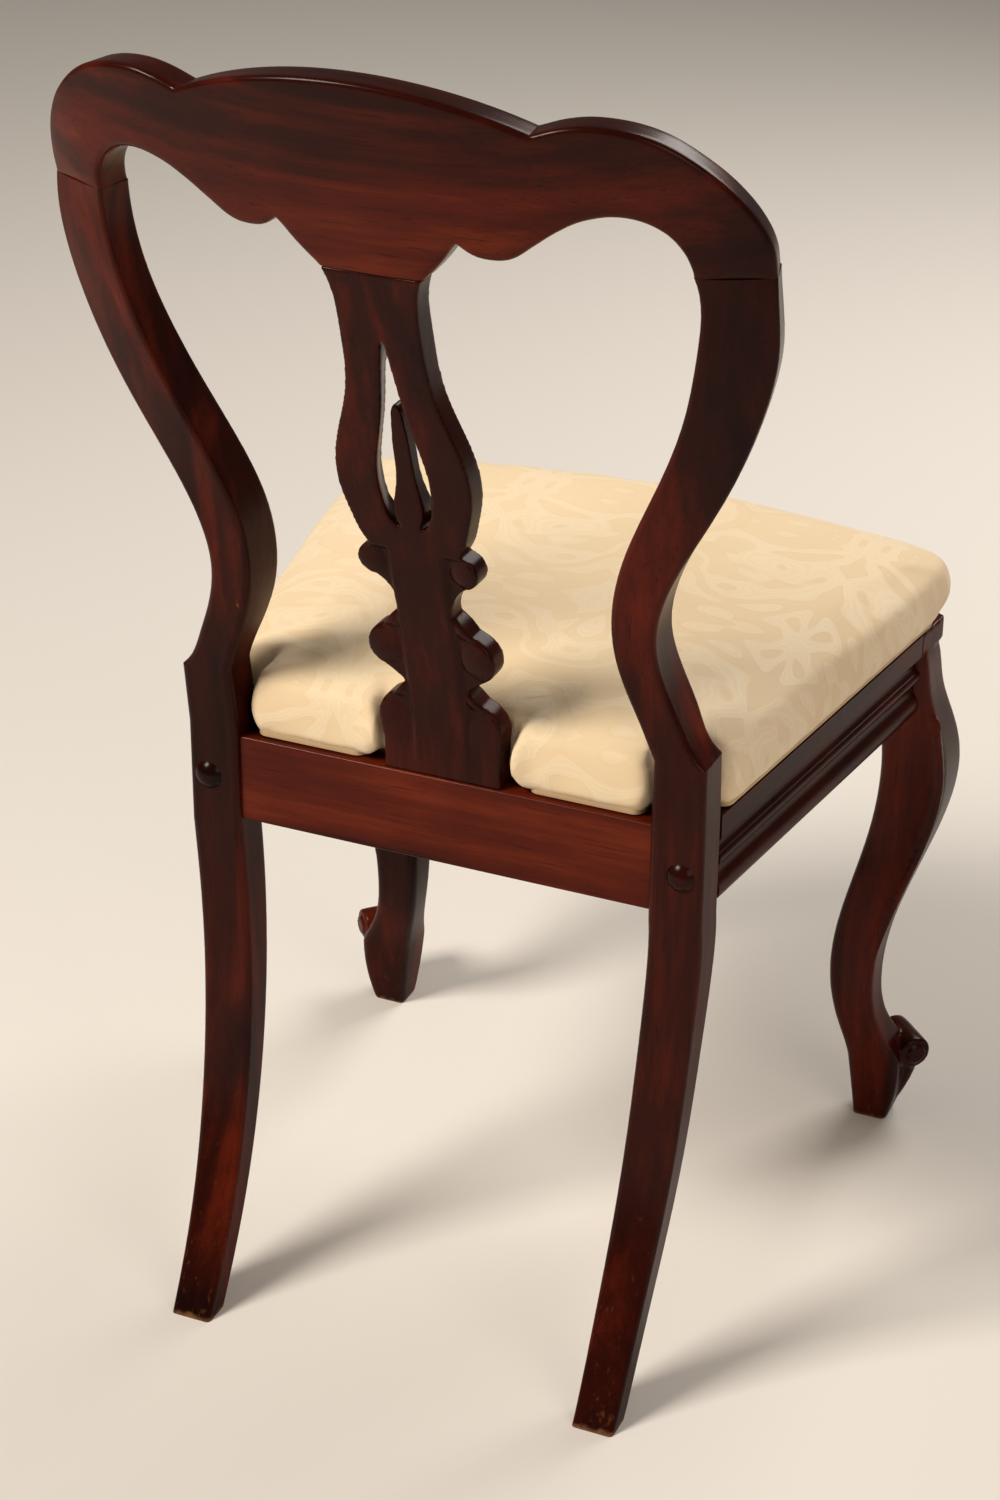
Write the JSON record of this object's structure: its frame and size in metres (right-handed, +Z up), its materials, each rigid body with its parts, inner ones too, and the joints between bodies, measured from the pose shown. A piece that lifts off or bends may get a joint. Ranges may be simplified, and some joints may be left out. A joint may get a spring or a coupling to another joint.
{
  "type": "dining chair",
  "caption": "Balloon back dining chair with a bowed crest, pierced splat, cabriole front legs, swept rear legs and an upholstered drop-on seat.",
  "frame": {"origin": "on the floor, at the middle of the chair's bounding box", "axes": "+Z up; the sitter faces -Y; +X is the sitter's left"},
  "size_m": [0.4878, 0.5654, 0.925],
  "materials": {
    "mahogany": "glossy dark red-brown polish, worn at the edges",
    "beech": "bare sanded",
    "plywood": "bare sanded",
    "damask": "woven ivory tone on tone",
    "padding": "soft matte",
    "steel": "satin"
  },
  "bodies": {
    "root": {"barrel_nut_left": "steel", "barrel_nut_right": "steel", "bolt_cap_left": "mahogany", "bolt_cap_right": "mahogany", "crest_dowel_1_left": "beech", "crest_dowel_1_right": "beech", "crest_dowel_2_left": "beech", "crest_dowel_2_right": "beech", "crest_rail": "mahogany", "front_block_screw_1_left": "steel", "front_block_screw_1_right": "steel", "front_block_screw_2_left": "steel", "front_block_screw_2_right": "steel", "front_corner_block_left": "beech", "front_corner_block_right": "beech", "front_leg_left": "mahogany", "front_leg_right": "mahogany", "front_seat_rail": "mahogany", "front_seat_screw_left": "steel", "front_seat_screw_right": "steel", "rail_bolt_left": "steel", "rail_bolt_right": "steel", "rear_block_screw_1_left": "steel", "rear_block_screw_1_right": "steel", "rear_block_screw_2_left": "steel", "rear_block_screw_2_right": "steel", "rear_corner_block_left": "beech", "rear_corner_block_right": "beech", "rear_post_left": "mahogany", "rear_post_right": "mahogany", "rear_seat_rail": "mahogany", "rear_seat_screw_left": "steel", "rear_seat_screw_right": "steel", "seat_board": "plywood", "seat_cover": "damask", "seat_foam": "padding", "side_rail_dowel_1_left": "beech", "side_rail_dowel_1_right": "beech", "side_rail_dowel_2_left": "beech", "side_rail_dowel_2_right": "beech", "side_rail_left": "mahogany", "side_rail_right": "mahogany", "splat": "mahogany"}
  },
  "joints": []
}
